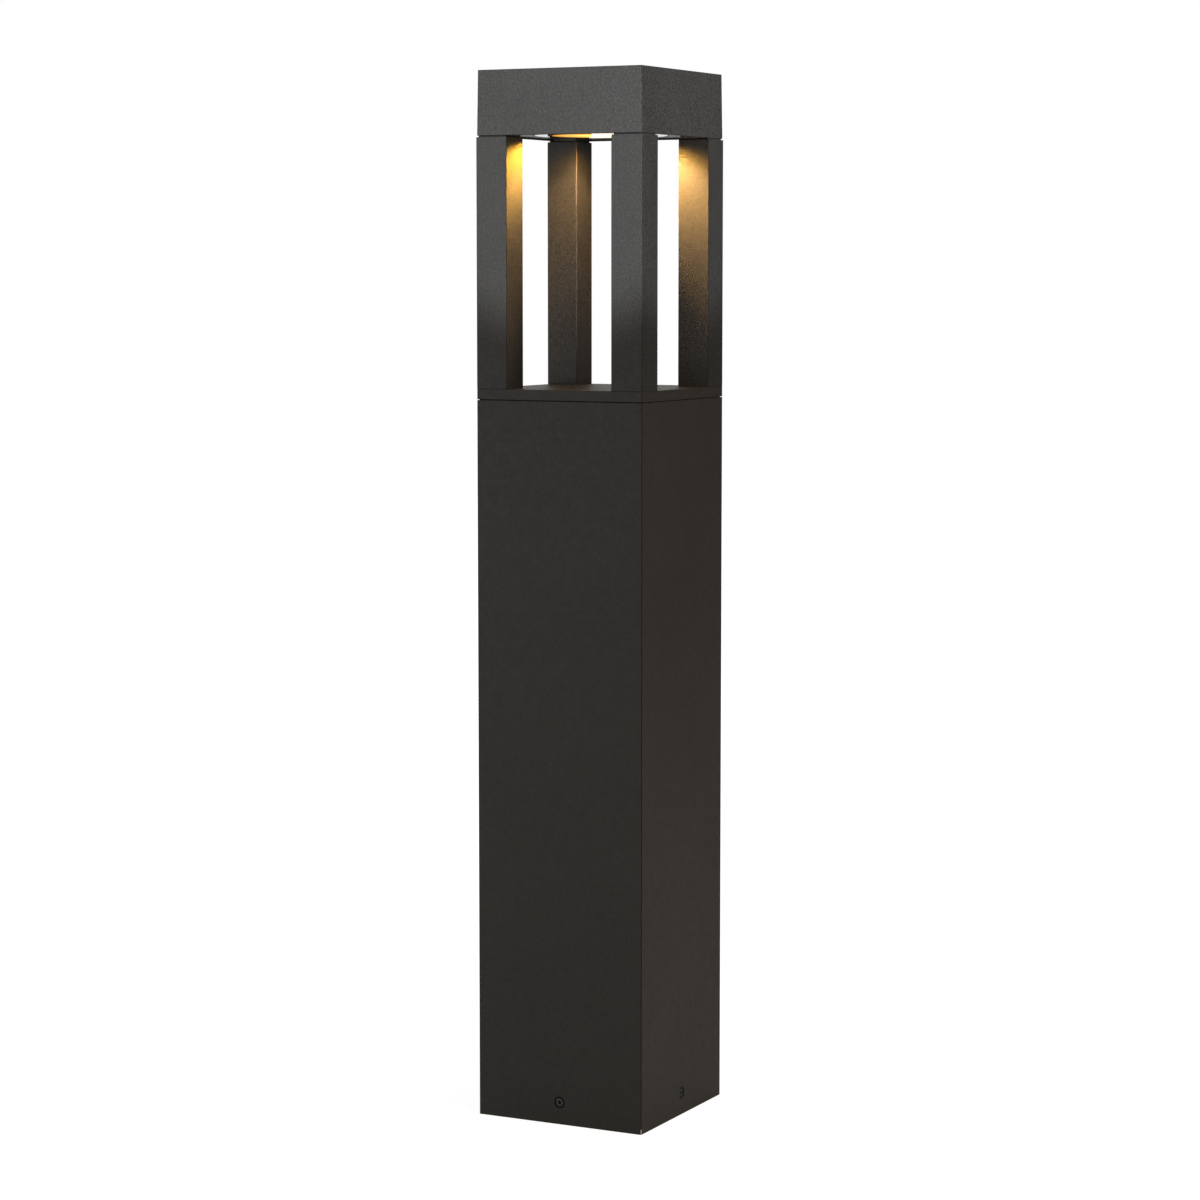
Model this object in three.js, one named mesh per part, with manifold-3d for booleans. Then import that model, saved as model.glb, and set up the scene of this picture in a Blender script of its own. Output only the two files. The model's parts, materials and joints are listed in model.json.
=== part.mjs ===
// Square bollard light with an open four-post lantern and a downward LED lamp in its cap.
// Units are millimetres, +Z is up, and the origin is the centre of the footprint on the ground.
// The front face looks along -Y and the right face along +X.
import * as THREE from 'three';
import * as BufferGeometryUtils from 'three/addons/utils/BufferGeometryUtils.js';
import Module from 'manifold-3d';

const wasm = await Module();
wasm.setup();

// ---------------------------------------------------------------- driving dimensions

const WIDTH = 140; // outside of the column, the floor plate and the post frame
const HEIGHT = 800;
const HALF = WIDTH / 2;
const FIT = 0.3; // gap between pieces that are cut to fit each other

const COLUMN_TOP = 552.5;
const COLUMN_WALL = 3;
const COLUMN_INNER = WIDTH - 2 * COLUMN_WALL;
const JOINT_GAP = 0.5; // the hairline between the column and the floor plate
const FLOOR_BOTTOM = COLUMN_TOP + JOINT_GAP;
const FLOOR_TOP = FLOOR_BOTTOM + 8;
const POST_SIDE = 26;
const POST_WALL = 2.5;
const POST_CENTRE = HALF - POST_SIDE / 2;
const POST_TOP = 750;
const SHADOW_GAP = 1; // between the posts and the cap's rim

const CAP_BOTTOM = POST_TOP + SHADOW_GAP;
const CAP_BOTTOM_WIDTH = 139.2;
const CAP_TOP_WIDTH = 138;
const CAP_WALL = 3;
const CAP_ROOF = 4;
const LAMP_PLATE_RECESS = 1.2; // the lamp plate sits this far inside the cap's rim
const LAMP_PLATE_BOTTOM = CAP_BOTTOM + LAMP_PLATE_RECESS;
const LAMP_PLATE_TOP = LAMP_PLATE_BOTTOM + 4;
const LAMP_PLATE_WIDTH = 132;

const GLASS_WINDOW_R = 51; // the part of the glass that fills the lamp plate's opening
const GLASS_FLANGE_R = 56;
const GLASS_FLANGE_HEIGHT = 4;
const SEAL_HEIGHT = 1;
const GLASS_FLANGE_BOTTOM = LAMP_PLATE_TOP + SEAL_HEIGHT;
const GLASS_TOP = GLASS_FLANGE_BOTTOM + GLASS_FLANGE_HEIGHT;

const HOUSING_BOTTOM = GLASS_TOP + SEAL_HEIGHT;
const LAMP_RING_HEIGHT = 4;
const LAMP_RING_TOP = HOUSING_BOTTOM + LAMP_RING_HEIGHT;
const HOUSING_R = 46;
const HOUSING_WALL = 3;
const SPIGOT_R = HOUSING_R - HOUSING_WALL / 2; // the foot of the lamp housing, pressed into the lamp ring
const HEAT_SINK_BOTTOM = HOUSING_BOTTOM + 15;
const HEAT_SINK_ROOT = HEAT_SINK_BOTTOM + 3; // where the fins start
const FIN_TOP = HEAT_SINK_ROOT + 11;
const FIN_COUNT = 7;
const HOUSING_SCREW_CENTRE = 61;
const HOUSING_SCREW_R = 1.5;
const GLAND_NECK_R = 3.5; // of the gland on the lamp housing and the one on the terminal box
const LAMP_GLAND_Z = LAMP_RING_TOP + 6.2;
const LED_BOARD_SIDE = 50;
const LED_BOARD_THICKNESS = 1.6;
const LED_BOARD_BOTTOM = HEAT_SINK_BOTTOM - LED_BOARD_THICKNESS;
const LED_R = 10;
const LED_HEIGHT = 1;
const BOARD_SCREW_X = [-18, 18];
const BOARD_SCREW_R = 1.5;
const REFLECTOR_TOP_R = 12;
const REFLECTOR_BOTTOM_R = 38;

const FLANGE_THICKNESS = 6;
const FLANGE_BOTTOM = COLUMN_TOP - FLANGE_THICKNESS;
const FLANGE_OPENING = 76;
const GASKET_INSET = 1.5; // how far the gaskets stay back from the faces outside
const TIE_R = 2.5;
const TIE_HOLE_R = TIE_R + FIT;
const TIE_TOP = 780;
const LEAD_CENTRE = 52; // where the lamp lead rises through the rear right post
const LEAD_R = 2.25;
const LEAD_HOLE_R = LEAD_R + 0.5;

const BASE_WIDTH = 133;
const BASE_PLATE = 6;
const BASE_WALL = 4;
const BASE_HEIGHT = 32;
const BASE_RIB = 4; // thickness of the ribs
const BASE_RIB_TOP = BASE_PLATE + 8;
const THREAD_BOTTOM = 1.5; // depth that the blind holes in the base plate reach
const ANCHOR_CENTRE = 45;
const ANCHOR_HOLE_R = 4.5;
const CABLE_ENTRY_R = 17;
const SIDE_SCREW_Z = 17;
const SIDE_SCREW_R = 2;
const SIDE_HEAD_R = 3.8;
const SIDE_SCREW_LENGTH = 12;
const SIDE_CONE_DEPTH = 2.4; // where the head's cone meets the shank, below the column's face
const TRAY_SCREW_X = [-16, 16];
const TRAY_SCREW_R = 2;

const TRAY_FRONT = 30; // y of the gear tray's front face
const TRAY_THICKNESS = 2;
const TRAY_WIDTH = 80;
const TRAY_TOP = 345;
const TRAY_SCREW_Y = TRAY_FRONT + 13;
const GEAR_BACK = TRAY_FRONT - FIT; // the back of whatever is screwed to the tray
const GEAR_SCREW_R = 2;
const DRIVER = { width: 58, depth: 34, bottom: 175, top: 315, stub: 6 };
const DRIVER_EAR = 3; // thickness of its fixing ears
const DRIVER_SCREW_Z = [DRIVER.bottom - 6, DRIVER.top + 6];
const DRIVER_LEAD_R = 2.8;
const DRIVER_MIDDLE = GEAR_BACK - DRIVER.depth / 2;
const BOX = { width: 70, depth: 32, bottom: 62, top: 122, wall: 2.5, lid: 3 };
const BOX_MIDDLE = GEAR_BACK - BOX.depth / 2;
const SUPPLY_X = 8;
const SUPPLY_NECK_R = 6;
const LID_SCREW_X = [-28, 28];
const LID_SCREW_R = 1.5;
const LID_HOLE_R = LID_SCREW_R + FIT;
const LID_SCREW_Z = (BOX.bottom + BOX.top) / 2;
const EARTH = { x: -34, y: 20, r: 2.5, barrel: 9, barrelR: 2.4 };
const EARTH_BARREL_TOP = BASE_PLATE + 8;
const EARTH_OUTLET_X = -20;
const EARTH_LEAD_R = 1.5;

const ROUND = 16; // sides of a small round piece
const SMOOTH = 48; // sides of a large round piece
const FINE = 72; // sides of the round edges that show most
const SCREW_SIDES = 24; // sides of the screws that show

// ---------------------------------------------------------------- materials

const finish = (color, roughness, metalness) => () =>
  new THREE.MeshStandardMaterial({ color, roughness, metalness });

const powderCoat = finish(0x34322f, 0.5, 0.2);
const sandCoat = finish(0x3c3c3d, 0.55, 0.2);
const blackScrew = finish(0x3a3a38, 0.4, 0.8);
const zincSteel = finish(0xa8abad, 0.4, 0.9);
const bareAluminium = finish(0xb4b6b8, 0.45, 0.9);
const castBase = finish(0x55565a, 0.6, 0.5);
const blackRubber = finish(0x141414, 0.9, 0);
const lensGlass = finish(0xe8d9b8, 0.05, 0);
const polishedReflector = finish(0xe2c27a, 0.15, 1);
const ledYellow = finish(0xffc44d, 0.6, 0);
const boardWhite = finish(0xe9e9e4, 0.5, 0);
const greyPlastic = finish(0x8d9094, 0.5, 0);
const blackPlastic = finish(0x1d1d1f, 0.5, 0);
const leadJacket = finish(0x202022, 0.6, 0);
const earthJacket = finish(0x6f9a2a, 0.6, 0);

// ---------------------------------------------------------------- solids

/** Turns a closed three.js geometry into a manifold solid. */
function solid(geometry) {
  const bare = geometry.clone();
  bare.deleteAttribute('normal');
  bare.deleteAttribute('uv');
  const merged = BufferGeometryUtils.mergeVertices(bare, 1e-4);
  return new wasm.Manifold(
    new wasm.Mesh({
      numProp: 3,
      vertProperties: new Float32Array(merged.attributes.position.array),
      triVerts: new Uint32Array(merged.index.array),
    }),
  );
}

/** Turns a manifold solid back into a three.js geometry. */
function geometryOf(manifold) {
  const mesh = manifold.getMesh();
  const geometry = new THREE.BufferGeometry();
  geometry.setAttribute('position', new THREE.BufferAttribute(mesh.vertProperties, 3));
  geometry.setIndex(new THREE.BufferAttribute(mesh.triVerts, 1));
  geometry.computeVertexNormals();
  return geometry;
}

/** A block between two corners. */
function block(low, high) {
  const size = high.map((value, axis) => value - low[axis]);
  const geometry = new THREE.BoxGeometry(...size);
  geometry.translate(...low.map((value, axis) => value + size[axis] / 2));
  return solid(geometry);
}

/** A square block centred on the Z axis. */
function squareBlock(width, bottom, top) {
  return block([-width / 2, -width / 2, bottom], [width / 2, width / 2, top]);
}

/** An upright cylinder or cone. */
function rod(x, y, bottomR, topR, bottom, top, sides = ROUND) {
  const geometry = new THREE.CylinderGeometry(topR, bottomR, top - bottom, sides);
  geometry.rotateX(Math.PI / 2);
  geometry.translate(x, y, (bottom + top) / 2);
  return solid(geometry);
}

/** A square block whose width changes from bottom to top. */
function draftedBlock(bottomWidth, topWidth, bottom, top) {
  const corner = Math.SQRT1_2;
  const geometry = new THREE.CylinderGeometry(topWidth * corner, bottomWidth * corner, top - bottom, 4);
  geometry.rotateY(Math.PI / 4);
  geometry.rotateX(Math.PI / 2);
  geometry.translate(0, 0, (bottom + top) / 2);
  return solid(geometry);
}

/** A ring or disc turned about the Z axis from [radius, z] points that form a closed outline. */
function turned(points, sides = SMOOTH) {
  const outline = points.map(([r, z]) => new THREE.Vector2(r, z));
  const geometry = new THREE.LatheGeometry(outline, sides);
  geometry.rotateX(Math.PI / 2);
  return solid(geometry);
}

/** A flat ring with a rectangular section. */
function ring(innerR, outerR, bottom, top) {
  const section = [
    [innerR, bottom],
    [outerR, bottom],
    [outerR, top],
    [innerR, top],
    [innerR, bottom],
  ];
  return turned(section);
}

/** A hexagonal prism standing on the XY plane, flat to flat across the given size. */
function hexPrism(acrossFlats, bottom, top) {
  return rod(0, 0, acrossFlats / Math.sqrt(3), acrossFlats / Math.sqrt(3), bottom, top, 6);
}

/** A flat plate extruded upward from an outline of [x, y] corners, with round holes. */
function plate(corners, holes, bottom, top) {
  const shape = new THREE.Shape(corners.map(([x, y]) => new THREE.Vector2(x, y)));
  for (const [x, y, r] of holes) {
    const hole = new THREE.Path();
    hole.absarc(x, y, r, 0, 2 * Math.PI);
    shape.holes.push(hole);
  }
  const options = { depth: top - bottom, bevelEnabled: false, curveSegments: ROUND / 2 };
  const geometry = new THREE.ExtrudeGeometry(shape, options);
  geometry.translate(0, 0, bottom);
  return solid(geometry);
}

/** The corners of a square outline about a centre. */
function squareOutline(width, x = 0, y = 0) {
  const h = width / 2;
  return [
    [x - h, y - h],
    [x + h, y - h],
    [x + h, y + h],
    [x - h, y + h],
  ];
}

/** A round lead along a smooth curve through its points. */
function lead(points, radius, steps) {
  const path = new THREE.CatmullRomCurve3(points.map((p) => new THREE.Vector3(...p)));
  const section = new THREE.Shape();
  section.absarc(0, 0, radius, 0, 2 * Math.PI);
  const options = { steps, curveSegments: 5, bevelEnabled: false, extrudePath: path };
  return new THREE.ExtrudeGeometry(section, options);
}

/** A named mesh made from a manifold solid or a three.js geometry. */
function piece(name, shape, material) {
  const geometry = shape.isBufferGeometry ? shape : geometryOf(shape);
  const mesh = new THREE.Mesh(geometry, material());
  mesh.name = name;
  return mesh;
}

// ---------------------------------------------------------------- shared layouts

const CORNERS = [
  { name: 'front_left', x: -1, y: -1 },
  { name: 'front_right', x: 1, y: -1 },
  { name: 'rear_right', x: 1, y: 1 },
  { name: 'rear_left', x: -1, y: 1 },
];

const SIDES = [
  { name: 'front', turn: 0 },
  { name: 'right', turn: Math.PI / 2 },
  { name: 'rear', turn: Math.PI },
  { name: 'left', turn: -Math.PI / 2 },
];

const leadCorner = CORNERS.find((corner) => corner.name === 'rear_right');

/** The four holes that the tie rods pass through, and the one for the lamp lead. */
function throughHoles() {
  const holes = CORNERS.map((corner) => [corner.x * POST_CENTRE, corner.y * POST_CENTRE, TIE_HOLE_R]);
  holes.push([leadCorner.x * LEAD_CENTRE, leadCorner.y * LEAD_CENTRE, LEAD_HOLE_R]);
  return holes;
}

/** A socket-head screw along Z with its head's top at zero and its shank going down. */
function capScrew(headR, headHeight, shankR, length, socket) {
  const outline = [
    [0, -headHeight - length],
    [shankR, -headHeight - length],
    [shankR, -headHeight],
    [headR, -headHeight],
    [headR, 0],
    [0, 0],
  ];
  return turned(outline, ROUND).subtract(hexPrism(socket, -headHeight * 0.6, 1));
}

// ---------------------------------------------------------------- column and base

/** The conical recess and clearance hole for a side screw, along Z with the wall's face at zero. */
function sideScrewRecess() {
  const outline = [
    [0, -COLUMN_WALL - 1],
    [SIDE_SCREW_R + FIT, -COLUMN_WALL - 1],
    [SIDE_SCREW_R + FIT, -SIDE_CONE_DEPTH],
    [SIDE_HEAD_R + FIT, -0.6],
    [SIDE_HEAD_R + FIT, 1],
    [0, 1],
  ];
  return turned(outline, SCREW_SIDES);
}

/** Lays a solid made along Z onto the column's front face, and turns it to the given side. */
function onSide(manifold, turn) {
  const degrees = THREE.MathUtils.radToDeg(turn);
  return manifold.rotate([90, 0, 0]).translate([0, -HALF, SIDE_SCREW_Z]).rotate([0, 0, degrees]);
}

function columnTube() {
  let tube = squareBlock(WIDTH, 0, COLUMN_TOP).subtract(squareBlock(COLUMN_INNER, -1, COLUMN_TOP + 1));
  for (const side of SIDES) {
    tube = tube.subtract(onSide(sideScrewRecess(), side.turn));
  }
  return piece('column_tube', tube, powderCoat);
}

function sideScrews() {
  const outline = [
    [0, -SIDE_SCREW_LENGTH],
    [SIDE_SCREW_R, -SIDE_SCREW_LENGTH],
    [SIDE_SCREW_R, -SIDE_CONE_DEPTH],
    [SIDE_HEAD_R, -0.9],
    [SIDE_HEAD_R, -0.5],
    [SIDE_HEAD_R - 0.3, -0.2],
    [0, -0.2],
  ];
  const screw = turned(outline, SCREW_SIDES).subtract(hexPrism(2.5, -2, 1));
  return SIDES.map((side) => piece(`side_screw_${side.name}`, onSide(screw, side.turn), blackScrew));
}

/** The cast base: a plate with an upstand, anchor holes, ribs and a collar round the cable entry. */
function mountingBase() {
  const half = BASE_WIDTH / 2;
  const rib = BASE_RIB / 2;
  const collarR = CABLE_ENTRY_R + BASE_WALL;
  let base = squareBlock(BASE_WIDTH, 0, BASE_HEIGHT);
  base = base.subtract(squareBlock(BASE_WIDTH - 2 * BASE_WALL, BASE_PLATE, BASE_HEIGHT + 1));
  base = base.add(rod(0, 0, collarR, collarR, BASE_PLATE - 1, BASE_PLATE + 12, SMOOTH));
  base = base.add(block([-half + 1, -rib, BASE_PLATE - 1], [half - 1, rib, BASE_RIB_TOP]));
  base = base.add(block([-rib, -half + 1, BASE_PLATE - 1], [rib, 2 - collarR, BASE_RIB_TOP]));
  base = base.subtract(rod(0, 0, CABLE_ENTRY_R, CABLE_ENTRY_R, -1, BASE_HEIGHT, SMOOTH));
  for (const corner of CORNERS) {
    const [x, y] = [corner.x * ANCHOR_CENTRE, corner.y * ANCHOR_CENTRE];
    base = base.subtract(rod(x, y, ANCHOR_HOLE_R, ANCHOR_HOLE_R, -1, BASE_PLATE + 1));
  }
  const threadR = SIDE_SCREW_R + FIT;
  for (const side of SIDES) {
    base = base.subtract(onSide(rod(0, 0, threadR, threadR, -20, 1), side.turn));
  }
  for (const x of TRAY_SCREW_X) {
    const holeR = TRAY_SCREW_R + FIT;
    base = base.subtract(rod(x, TRAY_SCREW_Y, holeR, holeR, THREAD_BOTTOM, BASE_PLATE + 1));
  }
  const earthR = EARTH.r + FIT;
  base = base.subtract(rod(EARTH.x, EARTH.y, earthR, earthR, THREAD_BOTTOM, BASE_PLATE + 1));
  return piece('mounting_base', base, castBase);
}

/** The square ring welded inside the column's top, which the tie rods pull on. */
function columnFlange() {
  const width = COLUMN_INNER - 2 * FIT;
  let flange = plate(squareOutline(width), throughHoles(), FLANGE_BOTTOM, COLUMN_TOP);
  flange = flange.subtract(squareBlock(FLANGE_OPENING, FLANGE_BOTTOM - 1, COLUMN_TOP + 1));
  return piece('column_flange', flange, bareAluminium);
}

/** The thin square ring in the hairline joint; the tie rods pass inside it. */
function columnGasket() {
  const width = WIDTH - 2 * GASKET_INSET;
  let gasket = squareBlock(width, COLUMN_TOP, FLOOR_BOTTOM);
  gasket = gasket.subtract(squareBlock(width - 16, COLUMN_TOP - 1, FLOOR_BOTTOM + 1));
  return piece('column_gasket', gasket, blackRubber);
}

// ---------------------------------------------------------------- lantern

function floorPlate() {
  const panel = plate(squareOutline(WIDTH), throughHoles(), FLOOR_BOTTOM, FLOOR_TOP);
  return piece('floor_plate', panel, powderCoat);
}

function cornerPosts() {
  return CORNERS.map((corner) => {
    const [x, y] = [corner.x * POST_CENTRE, corner.y * POST_CENTRE];
    const outer = block(
      [x - POST_SIDE / 2, y - POST_SIDE / 2, FLOOR_TOP],
      [x + POST_SIDE / 2, y + POST_SIDE / 2, POST_TOP],
    );
    const hollow = POST_SIDE / 2 - POST_WALL;
    const inner = block([x - hollow, y - hollow, FLOOR_TOP - 1], [x + hollow, y + hollow, POST_TOP + 1]);
    return piece(`post_${corner.name}`, outer.subtract(inner), sandCoat);
  });
}

function postGaskets() {
  const width = POST_SIDE - 2 * GASKET_INSET;
  return CORNERS.map((corner) => {
    const [x, y] = [corner.x * POST_CENTRE, corner.y * POST_CENTRE];
    const holes = throughHoles().filter(([hx, hy]) => Math.hypot(hx - x, hy - y) < width / 2);
    const gasket = plate(squareOutline(width, x, y), holes, POST_TOP, CAP_BOTTOM);
    return piece(`post_gasket_${corner.name}`, gasket, blackRubber);
  });
}

/** The long rods from under the column flange, up through the posts, into the cap's bosses. */
function tieRods() {
  const headR = 4.25;
  const headHeight = 5;
  const rodShape = capScrew(headR, headHeight, TIE_R, TIE_TOP - FLANGE_BOTTOM, 4).rotate([180, 0, 0]);
  return CORNERS.map((corner) => {
    const place = [corner.x * POST_CENTRE, corner.y * POST_CENTRE, FLANGE_BOTTOM - headHeight];
    return piece(`tie_rod_${corner.name}`, rodShape.translate(place), zincSteel);
  });
}

// ---------------------------------------------------------------- cap and lamp

function topCap() {
  const innerTop = HEIGHT - CAP_ROOF;
  const cavityTopWidth = CAP_TOP_WIDTH - 2 * CAP_WALL;
  const cavityBottomWidth = CAP_BOTTOM_WIDTH - 2 * CAP_WALL;
  const bossR = 6.5;
  let cap = draftedBlock(CAP_BOTTOM_WIDTH, CAP_TOP_WIDTH, CAP_BOTTOM, HEIGHT);
  cap = cap.subtract(draftedBlock(cavityBottomWidth, cavityTopWidth, CAP_BOTTOM - 1, innerTop));
  for (const corner of CORNERS) {
    const [x, y] = [corner.x * POST_CENTRE, corner.y * POST_CENTRE];
    cap = cap.add(rod(x, y, bossR, bossR, LAMP_PLATE_TOP, innerTop + 1));
    cap = cap.subtract(rod(x, y, TIE_HOLE_R, TIE_HOLE_R, LAMP_PLATE_TOP - 1, TIE_TOP + 3));
  }
  const groove = LEAD_R + 1;
  const [leadX, leadY] = [leadCorner.x * LEAD_CENTRE, leadCorner.y * LEAD_CENTRE];
  cap = cap.subtract(rod(leadX, leadY, groove, groove, LAMP_PLATE_TOP - 1, innerTop));
  return piece('top_cap', cap, sandCoat);
}

/** The plate that closes the cap from below and carries the glass and the lamp housing. */
function lampPlate() {
  const openingR = GLASS_WINDOW_R + 0.5;
  const threadR = HOUSING_SCREW_R + FIT;
  const padSide = LAMP_PLATE_WIDTH / 2 - (HALF - POST_SIDE);
  const padCentre = (LAMP_PLATE_WIDTH - padSide) / 2;
  let panel = squareBlock(LAMP_PLATE_WIDTH, LAMP_PLATE_BOTTOM, LAMP_PLATE_TOP);
  for (const corner of CORNERS) {
    const outline = squareOutline(padSide, corner.x * padCentre, corner.y * padCentre);
    panel = panel.add(plate(outline, [], CAP_BOTTOM, LAMP_PLATE_TOP));
  }
  panel = panel.subtract(rod(0, 0, openingR, openingR, CAP_BOTTOM - 1, LAMP_PLATE_TOP + 1, FINE));
  for (const [x, y, r] of throughHoles()) {
    panel = panel.subtract(rod(x, y, r, r, CAP_BOTTOM - 1, LAMP_PLATE_TOP + 1));
  }
  for (const [x, y] of housingScrewPlaces()) {
    panel = panel.subtract(rod(x, y, threadR, threadR, LAMP_PLATE_BOTTOM + 1, LAMP_PLATE_TOP + 1));
  }
  return piece('lamp_plate', panel, sandCoat);
}

function lensGlassDisc() {
  const outline = [
    [0, LAMP_PLATE_BOTTOM],
    [GLASS_WINDOW_R - 0.5, LAMP_PLATE_BOTTOM],
    [GLASS_WINDOW_R, LAMP_PLATE_BOTTOM + 0.5],
    [GLASS_WINDOW_R, GLASS_FLANGE_BOTTOM],
    [GLASS_FLANGE_R, GLASS_FLANGE_BOTTOM],
    [GLASS_FLANGE_R, GLASS_TOP],
    [0, GLASS_TOP],
  ];
  return piece('lens_glass', turned(outline, FINE), lensGlass);
}

function lensSeals() {
  const under = ring(GLASS_WINDOW_R + 1.5, GLASS_FLANGE_R, LAMP_PLATE_TOP, GLASS_FLANGE_BOTTOM);
  const over = ring(GLASS_WINDOW_R - 1, GLASS_FLANGE_R, GLASS_TOP, HOUSING_BOTTOM);
  return [piece('lens_gasket', under, blackRubber), piece('lens_seal', over, blackRubber)];
}

function housingScrewPlaces() {
  return SIDES.map((side) => [
    HOUSING_SCREW_CENTRE * Math.sin(side.turn),
    -HOUSING_SCREW_CENTRE * Math.cos(side.turn),
  ]);
}

/** The direction from the lamp's axis towards the lamp lead's corner. */
const leadSide = leadCorner.x * Math.SQRT1_2;

/** The eight-sided ring that is screwed to the lamp plate and presses the glass down through its seals. */
function lampRing() {
  const half = 65.2;
  const cut = 30.5;
  const octagon = [
    [-cut, -half],
    [cut, -half],
    [half, -cut],
    [half, cut],
    [cut, half],
    [-cut, half],
    [-half, cut],
    [-half, -cut],
  ];
  const screws = housingScrewPlaces().map(([x, y]) => [x, y, HOUSING_SCREW_R + FIT]);
  const holeR = SPIGOT_R + FIT;
  const hole = rod(0, 0, holeR, holeR, HOUSING_BOTTOM - 1, LAMP_RING_TOP + 1, SMOOTH);
  const flange = plate(octagon, screws, HOUSING_BOTTOM, LAMP_RING_TOP).subtract(hole);
  return piece('lamp_ring', flange, bareAluminium);
}

/** The round wall of the lamp, with a shoulder that stands on the lamp ring. */
function lampHousing() {
  const shoulder = LAMP_RING_TOP + FIT;
  const innerR = HOUSING_R - HOUSING_WALL;
  const top = HEAT_SINK_BOTTOM - FIT;
  let housing = rod(0, 0, HOUSING_R, HOUSING_R, shoulder, top, SMOOTH);
  housing = housing.add(rod(0, 0, SPIGOT_R, SPIGOT_R, HOUSING_BOTTOM + FIT, shoulder + 1, SMOOTH));
  housing = housing.subtract(rod(0, 0, innerR, innerR, HOUSING_BOTTOM - 1, top + 1, SMOOTH));
  const glandHole = rod(0, 0, GLAND_NECK_R + FIT, GLAND_NECK_R + FIT, HOUSING_R - 8, HOUSING_R + 5);
  return piece('lamp_housing', housing.subtract(towardsLead(glandHole)), bareAluminium);
}

/** The finned roof of the lamp, which the LED board is screwed to, with a low ring that centres it. */
function heatSink() {
  const centringR = HOUSING_R - HOUSING_WALL - FIT;
  let sink = rod(0, 0, HOUSING_R, HOUSING_R, HEAT_SINK_BOTTOM, HEAT_SINK_ROOT, SMOOTH);
  sink = sink.add(ring(centringR - 2.7, centringR, HEAT_SINK_BOTTOM - 1, HEAT_SINK_BOTTOM + 1));
  const pitch = (2 * HOUSING_R) / FIN_COUNT;
  for (let i = 0; i < FIN_COUNT; i += 1) {
    const x = (i - (FIN_COUNT - 1) / 2) * pitch;
    const reach = Math.sqrt(HOUSING_R ** 2 - (Math.abs(x) + 1.5) ** 2) - 1;
    sink = sink.add(block([x - 1, -reach, HEAT_SINK_ROOT - 1], [x + 1, reach, FIN_TOP]));
  }
  const holeR = BOARD_SCREW_R + FIT;
  for (const x of BOARD_SCREW_X) {
    sink = sink.subtract(rod(x, 0, holeR, holeR, HEAT_SINK_BOTTOM - 1, HEAT_SINK_ROOT + 1));
  }
  return piece('heat_sink', sink, bareAluminium);
}

/** Lays a solid made along Z so that it points from the lamp's axis to the lamp lead's corner. */
function towardsLead(manifold) {
  const degrees = THREE.MathUtils.radToDeg(Math.atan2(leadCorner.y, leadCorner.x));
  return manifold.rotate([0, 90, 0]).rotate([0, 0, degrees]).translate([0, 0, LAMP_GLAND_Z]);
}

/** A cable gland along Z: a hexagon body, a dome nut, and a hole for its lead. */
function gland(neckR, bodyR, leadR, seat, neckLength, bodyLength) {
  const outline = [
    [leadR + FIT, seat - neckLength],
    [neckR, seat - neckLength],
    [neckR, seat + FIT],
    [bodyR, seat + FIT],
    [bodyR, seat + bodyLength * 0.7],
    [bodyR * 0.7, seat + bodyLength],
    [leadR + FIT, seat + bodyLength],
    [leadR + FIT, seat - neckLength],
  ];
  return turned(outline, ROUND);
}

function lampGland() {
  return piece('lamp_gland', towardsLead(gland(GLAND_NECK_R, 5.5, LEAD_R, HOUSING_R, 4, 8)), blackPlastic);
}

function housingScrews() {
  const headHeight = 2.5;
  const screw = capScrew(2.9, headHeight, HOUSING_SCREW_R, LAMP_RING_HEIGHT + 8, 2.5);
  const top = LAMP_RING_TOP + headHeight;
  return housingScrewPlaces().map(([x, y], i) =>
    piece(`housing_screw_${SIDES[i].name}`, screw.translate([x, y, top]), zincSteel),
  );
}

function ledBoard() {
  const headHeight = 1.2;
  const holes = BOARD_SCREW_X.map((x) => [x, 0, BOARD_SCREW_R + FIT]);
  const board = plate(squareOutline(LED_BOARD_SIDE), holes, LED_BOARD_BOTTOM, HEAT_SINK_BOTTOM);
  const emitter = rod(0, 0, LED_R, LED_R, LED_BOARD_BOTTOM - LED_HEIGHT, LED_BOARD_BOTTOM, SMOOTH);
  const screw = capScrew(2.6, headHeight, BOARD_SCREW_R, 6, 2).rotate([180, 0, 0]);
  const screws = BOARD_SCREW_X.map((x, i) => {
    const placed = screw.translate([x, 0, LED_BOARD_BOTTOM - headHeight]);
    return piece(`board_screw_${i + 1}`, placed, zincSteel);
  });
  return [piece('led_board', board, boardWhite), piece('led_emitter', emitter, ledYellow), ...screws];
}

/** The conical reflector between the emitter and the glass. */
function reflector() {
  const top = LED_BOARD_BOTTOM - 1.5;
  const bottom = HOUSING_BOTTOM + 0.3;
  const wall = 0.8;
  const outline = [
    [REFLECTOR_TOP_R, top],
    [REFLECTOR_BOTTOM_R, bottom],
    [REFLECTOR_BOTTOM_R + 3, bottom],
    [REFLECTOR_BOTTOM_R + 3, bottom + wall],
    [REFLECTOR_BOTTOM_R + wall / 2, bottom + wall],
    [REFLECTOR_TOP_R + wall, top],
    [REFLECTOR_TOP_R, top],
  ];
  return piece('reflector', turned(outline), polishedReflector);
}

// ---------------------------------------------------------------- gear inside the column

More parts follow.
